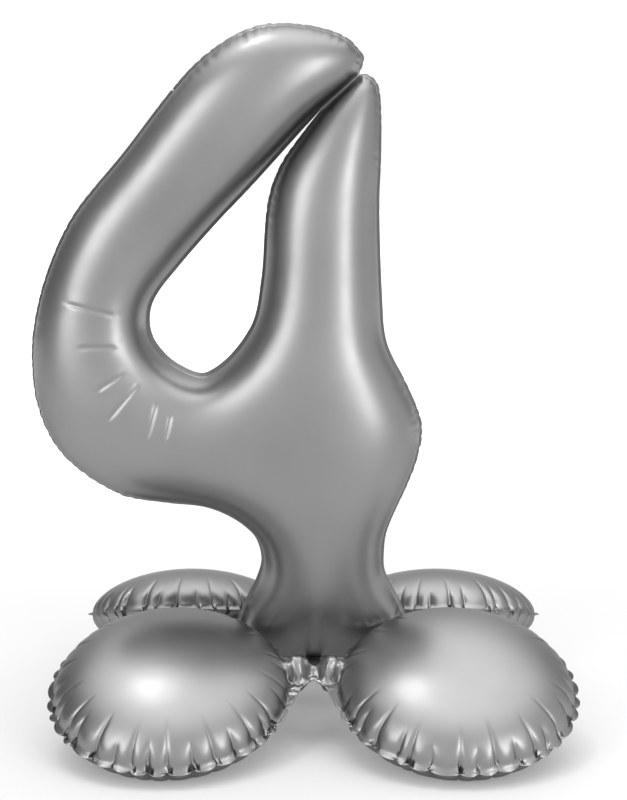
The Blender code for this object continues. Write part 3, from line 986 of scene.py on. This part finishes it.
def floor():
    mesh = bpy.data.meshes.new("floor")
    half = FLOOR_SIZE / 2
    corners = [(-half, -half, 0), (half, -half, 0), (half, half, 0), (-half, half, 0)]
    mesh.from_pydata(corners, [], [(0, 1, 2, 3)])
    made = bpy.data.objects.new("floor", mesh)
    bpy.context.scene.collection.objects.link(made)
    painted_glow_floor, shader, place = new_material("floor_painted_glow")
    nodes, links = painted_glow_floor.node_tree.nodes, painted_glow_floor.node_tree.links
    shader.inputs["Base Color"].default_value = FLOOR_GREY
    shader.inputs["Roughness"].default_value = 0.9
    # Painted light: the floor glows by its own emission, dim in front and nearly white behind the balloon.
    shader.inputs["Emission Color"].default_value = (1, 1, 1, 1)
    apart = nodes.new("ShaderNodeSeparateXYZ")
    links.new(place, apart.inputs["Vector"])
    glow = nodes.new("ShaderNodeMapRange")
    glow.interpolation_type = "SMOOTHSTEP"
    glow.inputs["From Min"].default_value = GLOW_STARTS
    glow.inputs["From Max"].default_value = GLOW_FULL
    glow.inputs["To Min"].default_value = GLOW_LOW
    glow.inputs["To Max"].default_value = GLOW_HIGH
    links.new(apart.outputs["Y"], glow.inputs["Value"])
    links.new(glow.outputs["Result"], shader.inputs["Emission Strength"])
    mesh.materials.append(painted_glow_floor)
    print("floor", FLOOR_SIZE, "m wide")


floor()

# %% [markdown]
# ## Lights
#
# Satin metal shows each light as a soft band, as wide as the light and its blur. Two tall lights in
# front, one on each side, draw the bands down both flanks of the stem and the arm. A small one high at
# the left gives each pillow its bright spot. Spot lights would leave hard dots, so all three are area
# lights.

# %% the lights
AIM = Vector((0, 0, 0.35))  # the middle of the balloon
LIGHT_SPREAD = math.radians(75)


def soft_light(name, turn, rise, away, width, tall, power):
    """A soft light that faces the balloon: turn is round from the camera's side, in degrees."""
    data = bpy.data.lights.new(name, "AREA")
    data.shape, data.size, data.size_y, data.energy = "RECTANGLE", width, tall, power
    data.spread = LIGHT_SPREAD
    light = bpy.data.objects.new(name, data)
    bpy.context.scene.collection.objects.link(light)
    turn, rise = math.radians(turn), math.radians(rise)
    back = Vector((math.sin(turn) * math.cos(rise), -math.cos(turn) * math.cos(rise), math.sin(rise)))
    light.location = AIM + back * away
    light.rotation_euler = (-back).to_track_quat("-Z", "Y").to_euler()
    print(name, "at", [round(x, 2) for x in light.location])


soft_light("left_front", -42, 22, 2.2, 1.0, 1.7, 2.9)
soft_light("right_front", 38, 14, 2.2, 0.6, 1.2, 1.7)
soft_light("overhead", -100, 76, 3.0, 0.45, 0.45, 1.5)

# %% [markdown]
# ## Walls
#
# What the lights don't cover, the metal takes from the room. The room could be a box of panels, but the
# world is simpler: a dim grey with a few soft lobes in it, each facing one way. They stand for a white
# wall behind, a bright one in front, a pale ceiling, and a paler side at the right.

# %% the walls
WALL_DIM = 0.30
# Each lobe: where it faces, where it starts and is full (as a cosine), and how much it adds.
WALL_LOBES = (
    ((0, 1, 0.05), 0.60, 0.96, 0.80),
    ((0, -0.90, 0.40), 0.30, 0.98, 0.75),
    ((0, 0.20, 1.00), 0.62, 0.98, 2.10),
    ((1, -0.25, 0.15), 0.30, 0.95, 0.60),
)


def wall_lobe(world, place, direction, start, full, bright):
    """How much one lobe adds, as a node's output."""
    nodes, links = world.node_tree.nodes, world.node_tree.links
    facing = nodes.new("ShaderNodeVectorMath")
    facing.operation = "DOT_PRODUCT"
    facing.inputs[1].default_value = Vector(direction).normalized()
    links.new(place, facing.inputs[0])
    share = nodes.new("ShaderNodeMapRange")
    share.interpolation_type = "SMOOTHSTEP"
    share.inputs["From Min"].default_value = start
    share.inputs["From Max"].default_value = full
    share.inputs["To Max"].default_value = bright
    links.new(facing.outputs["Value"], share.inputs["Value"])
    return share.outputs["Result"]


def studio_walls():
    world = bpy.data.worlds.new("studio")
    world.use_nodes = True
    nodes, links = world.node_tree.nodes, world.node_tree.links
    place = nodes.new("ShaderNodeTexCoord").outputs["Generated"]
    level = None
    for lobe in WALL_LOBES:
        total = nodes.new("ShaderNodeMath")
        total.operation = "ADD"
        total.inputs[1].default_value = WALL_DIM
        links.new(wall_lobe(world, place, *lobe), total.inputs[0])
        if level:
            links.new(level, total.inputs[1])
        level = total.outputs["Value"]
    links.new(level, nodes["Background"].inputs["Strength"])
    nodes["Background"].inputs["Color"].default_value = (1, 1, 1, 1)
    bpy.context.scene.world = world
    print("walls with", len(WALL_LOBES), "lobes")


studio_walls()

# %% [markdown]
# ## Camera
#
# The camera looks slightly down from the front, so that the numeral is seen straight on and the pillows
# from above. A long lens from further back would flatten the feet, so it stands near, with a lens a
# little longer than normal. The Standard view keeps the whites of the room white, where a film-like view
# would grey them.

# %% the camera
CAMERA_PLACE = Vector((feet_middle, -1.5595, 0.558))
CAMERA_PITCH = math.radians(90 - 8.33)
CAMERA_LENS = 66.8  # for a 36 mm sensor along the picture's long side
CAMERA_END = 100

camera_data = bpy.data.cameras.new("camera")
camera_data.lens = CAMERA_LENS
camera_data.clip_end = CAMERA_END
camera = bpy.data.objects.new("camera", camera_data)
camera.location = CAMERA_PLACE
camera.rotation_euler = (CAMERA_PITCH, 0, 0)
bpy.context.scene.collection.objects.link(camera)
bpy.context.scene.camera = camera
bpy.context.scene.view_settings.view_transform = "Standard"
print("camera", round(CAMERA_PLACE.z, 3), "up and", round(-CAMERA_PLACE.y, 3), "away")
